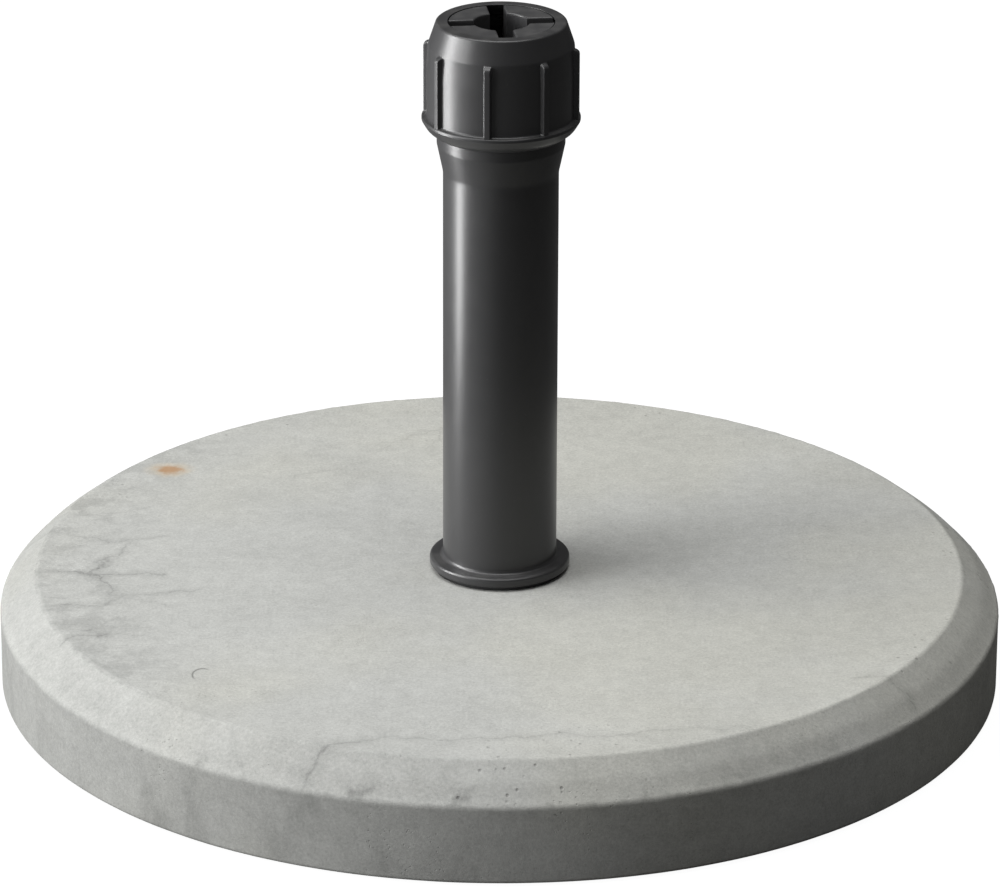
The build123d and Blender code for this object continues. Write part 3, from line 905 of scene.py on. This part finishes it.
def jaw_mesh(name, angle):
    """Quarter of the collet head with rounded edges, on a tongue with a bead to rock on."""
    hole, half_gap, widest, highest = 15 * MM, 4.5 * MM, 31.5 * MM, 28.4 * MM
    top = NUT_RIM - 0.3 * MM
    low, cone = top - 24 * MM, top - 12 * MM
    edge, outer_edge = 0.9 * MM, 0.25 * MM
    tongue_reach, tongue_thick, tongue_wide, tongue_edge = 24 * MM, 3 * MM, 14 * MM, 0.4 * MM
    hinge, bead_radius = 325.4 * MM, 2 * MM
    rings = [
        jaw_ring_points(28.5 * MM, hole + 1 * MM, half_gap + 1 * MM, low),
        jaw_ring_points(29.5 * MM, hole, half_gap, low + 1 * MM),
        jaw_ring_points(widest, hole, half_gap, low + 5 * MM),
        jaw_ring_points(widest, hole, half_gap, cone),
        jaw_ring_points(highest + 0.3 * MM, hole, half_gap, top - 1.8 * MM),
    ]
    for step in range(7):
        turn = math.pi / 2 * step / 6
        loss, height = 1 - math.cos(turn), top - edge * (1 - math.sin(turn))
        rings.append(jaw_ring_points(
            highest - outer_edge * loss, hole + edge * loss, half_gap + edge * loss, height
        ))
    rings.append(jaw_ring_points(
        highest - 2 * outer_edge, hole + 1.5 * edge, half_gap + 1.5 * edge, top
    ))
    shape = bmesh.new()
    rows = [[shape.verts.new(point) for point in ring] for ring in rings]
    count = len(rows[0])
    for below, above in zip(rows, rows[1:]):
        for index in range(count):
            after = (index + 1) % count
            shape.faces.new((below[index], below[after], above[after], above[index]))
    for index in range(count // 2 - 1):
        far = count - 1 - index
        top_row, low_row = rows[-1], rows[0]
        shape.faces.new((top_row[index], top_row[index + 1], top_row[far - 1], top_row[far]))
        shape.faces.new((low_row[index], low_row[far], low_row[far - 1], low_row[index + 1]))
    length = low + 2 * MM - hinge
    tongue = Matrix.Translation((tongue_reach, 0, hinge + length / 2))
    tongue = tongue @ Matrix.Diagonal((tongue_thick, tongue_wide, length, 1))
    box = bmesh.ops.create_cube(shape, matrix=tongue)
    sides = [line for line in shape.edges if line.verts[0] in box["verts"]]
    bmesh.ops.bevel(shape, geom=sides, offset=tongue_edge, segments=2, affect="EDGES")
    bead = Matrix.Translation((tongue_reach, 0, hinge)) @ Matrix.Rotation(math.pi / 2, 4, "X")
    bmesh.ops.create_cone(
        shape, cap_ends=True, segments=32, radius1=bead_radius, radius2=bead_radius,
        depth=tongue_wide, matrix=bead,
    )
    shape.transform(Matrix.Rotation(angle, 4, "Z"))
    mesh = bpy.data.meshes.new(name)
    shape.to_mesh(mesh)
    shape.free()
    mesh.shade_smooth()
    mesh.set_sharp_from_angle(angle=math.radians(38))
    return mesh


class BASE_OT_jaws(bpy.types.Operator):
    """Four clamp jaws, and the finish of their ring and the slip ring"""
    bl_idname = "parasol_base.jaws"
    bl_label = "Jaws and rings"

    def execute(self, context):
        settings = context.scene.parasol_plastic
        colour = [JAW_BRIGHTNESS * share for share in settings.colour]
        jaw = plastic_material("charcoal_jaw", colour, settings.roughness + 0.05, 0.1)
        for number in range(4):
            node = f"clamp_jaw_{number + 1}"
            mesh = jaw_mesh(f"jaw_{number + 1}", FIRST_JAW + math.pi / 2 * number)
            add_piece(f"jaw_{number + 1}", mesh, node, jaw, node)
        dress("jaw_ring", jaw)
        dress("slip_ring", plastic_material("slip_plastic", SLIP_COLOUR, 0.28, 0.1))
        return {"FINISHED"}


class BASE_OT_fittings(bpy.types.Operator):
    """Finish for the sleeve, seat, washer, lock nut and foot pads"""
    bl_idname = "parasol_base.fittings"
    bl_label = "Hidden fittings"

    def execute(self, context):
        settings = context.scene.parasol_fittings
        plastic = context.scene.parasol_plastic
        sleeve = plastic_material("sleeve_plastic", settings.sleeve_colour, 0.55, 0.4)
        dress("centre_sleeve", sleeve)
        dress("pole_seat", sleeve)
        dress("lock_nut", plastic_material("lock_plastic", plastic.colour, 0.5, 0.4))
        dress("washer", steel_material(settings))
        rubber = rubber_material(settings)
        for node in frame["nodes"]:
            if node.startswith("foot_pad_"):
                dress(node, rubber)
        return {"FINISHED"}


# Where the softboxes look, and how far the floor reaches, in metres
BASE_MIDDLE = (0, 0, 0.15)
SLAB_MIDDLE = (0, 0, 0.06)
TUBE_MIDDLE = (0, 0, 0.29)
FLOOR_REACH = 6.0


def add_softbox(name, place, target, size, power):
    """Rectangular area light that looks at a target."""
    light = bpy.data.lights.new(name, "AREA")
    light.shape = "RECTANGLE"
    light.size, light.size_y = size
    light.energy = power
    lamp = bpy.data.objects.new(name, light)
    lamp.location = place
    lamp.rotation_euler = (Vector(target) - Vector(place)).to_track_quat("-Z", "Y").to_euler()
    bpy.context.scene.collection.objects.link(lamp)
    return lamp


def backdrop_material(settings):
    """Pale floor that looks evenly bright and throws little light back on the part."""
    shader = Shader("pale_floor")
    seen = shader.node("ShaderNodeLightPath", output="Is Camera Ray")
    plain = shader.node("ShaderNodeBsdfDiffuse", None, {"Color": (0.12, 0.12, 0.12, 1.0)})
    lit = shader.node("ShaderNodeBsdfDiffuse", None, {"Color": (0.10, 0.10, 0.10, 1.0)})
    glow = shader.node("ShaderNodeEmission", None, {
        "Color": WHITE, "Strength": settings.floor_glow,
    })
    both = shader.node("ShaderNodeAddShader", None, {0: lit, 1: glow})
    surface = shader.node("ShaderNodeMixShader", None, {0: seen, 1: plain, 2: both})
    shader.node("ShaderNodeOutputMaterial", None, {"Surface": surface})
    return shader.material


def light_the_room(settings):
    """Even dim light all round, with a backdrop as pale as the floor."""
    world = bpy.data.worlds.new("studio")
    bpy.context.scene.world = world
    world.use_nodes = True
    nodes, links = world.node_tree.nodes, world.node_tree.links
    nodes.clear()
    seen = nodes.new("ShaderNodeLightPath")
    dim, pale = nodes.new("ShaderNodeBackground"), nodes.new("ShaderNodeBackground")
    dim.inputs["Strength"].default_value = settings.fill
    dim.inputs["Color"].default_value = WHITE
    pale.inputs["Strength"].default_value = settings.floor_glow
    pale.inputs["Color"].default_value = WHITE
    blend, out = nodes.new("ShaderNodeMixShader"), nodes.new("ShaderNodeOutputWorld")
    links.new(seen.outputs["Is Camera Ray"], blend.inputs[0])
    links.new(dim.outputs[0], blend.inputs[1])
    links.new(pale.outputs[0], blend.inputs[2])
    links.new(blend.outputs[0], out.inputs["Surface"])


class BASE_OT_stage(bpy.types.Operator):
    """Camera, softboxes, pale floor and backdrop"""
    bl_idname = "parasol_base.stage"
    bl_label = "Stage"

    def execute(self, context):
        scene = context.scene
        settings = scene.parasol_studio
        camera = bpy.data.cameras.new("camera")
        camera.lens = settings.lens
        camera.clip_end = 50
        view = bpy.data.objects.new("camera", camera)
        view.location = settings.place
        aim = Euler((math.pi / 2 - settings.pitch, 0, 0)).to_matrix()
        view.rotation_euler = (aim @ Euler((0, 0, settings.roll)).to_matrix()).to_euler()
        scene.collection.objects.link(view)
        scene.camera = view

        add_softbox(
            "key_softbox", (-1.42, -0.05, 1.96), BASE_MIDDLE, (1.4, 1.4), settings.key_light
        )
        add_softbox(
            "side_softbox", (-1.92, -0.70, 0.59), BASE_MIDDLE, (1.2, 0.9), settings.side_light
        )
        add_softbox(
            "top_softbox", (0, -0.1, 2.4), SLAB_MIDDLE, (1.6, 1.6), settings.top_light
        )
        strip = add_softbox(
            "strip_light", (-0.5, -0.02, 0.29), TUBE_MIDDLE, (0.14, 0.54), settings.strip_light
        )
        # The strip shines on the charcoal pieces only, so that the slab has no streak from it
        plastic = bpy.data.collections.new("plastic_pieces")
        for piece in scene.objects:
            slots = getattr(piece.data, "materials", None) or ()
            if any(slot and "charcoal" in slot.name for slot in slots):
                plastic.objects.link(piece)
        strip.light_linking.receiver_collection = plastic
        light_the_room(settings)

        mesh = bpy.data.meshes.new("floor")
        quarters = ((-1, -1), (1, -1), (1, 1), (-1, 1))
        corners = [(FLOOR_REACH * side, FLOOR_REACH * end, 0) for side, end in quarters]
        mesh.from_pydata(corners, [], [(0, 1, 2, 3)])
        mesh.materials.append(backdrop_material(settings))
        floor = bpy.data.objects.new("floor", mesh)
        scene.collection.objects.link(floor)

        scene.view_settings.view_transform = "Standard"
        scene.view_settings.look = "None"
        return {"FINISHED"}


class BASE_PT_panel(bpy.types.Panel):
    """Sidebar panel with the settings and the buttons that make each piece"""
    bl_idname = "BASE_PT_panel"
    bl_label = "Parasol Base"
    bl_space_type = "VIEW_3D"
    bl_region_type = "UI"
    bl_category = "Parasol Base"

    def draw(self, context):
        layout = self.layout
        for operator in OPERATORS:
            layout.operator(operator.bl_idname)
        for name, group in GROUPS.items():
            column = layout.box().column()
            settings = getattr(context.scene, name)
            for key in group.__annotations__:
                column.prop(settings, key)


OPERATORS = (
    BASE_OT_slab, BASE_OT_tube, BASE_OT_nut, BASE_OT_jaws, BASE_OT_fittings, BASE_OT_stage,
)
GROUPS = {
    "parasol_slab": SlabSettings,
    "parasol_plastic": PlasticSettings,
    "parasol_fittings": FittingSettings,
    "parasol_studio": StudioSettings,
}


def register():
    for group in GROUPS.values():
        bpy.utils.register_class(group)
    for cls in (*OPERATORS, BASE_PT_panel):
        bpy.utils.register_class(cls)
    for name, group in GROUPS.items():
        setattr(bpy.types.Scene, name, PointerProperty(type=group))


def unregister():
    for name in GROUPS:
        delattr(bpy.types.Scene, name)
    for cls in (BASE_PT_panel, *reversed(OPERATORS)):
        bpy.utils.unregister_class(cls)
    for group in reversed(GROUPS.values()):
        bpy.utils.unregister_class(group)


def main():
    """Make every piece and the stage."""
    register()
    for make in ("slab", "tube", "nut", "jaws", "fittings", "stage"):
        if getattr(bpy.ops.parasol_base, make)() != {"FINISHED"}:
            raise RuntimeError(f"{make} could not be made")


if __name__ == "__main__":
    main()
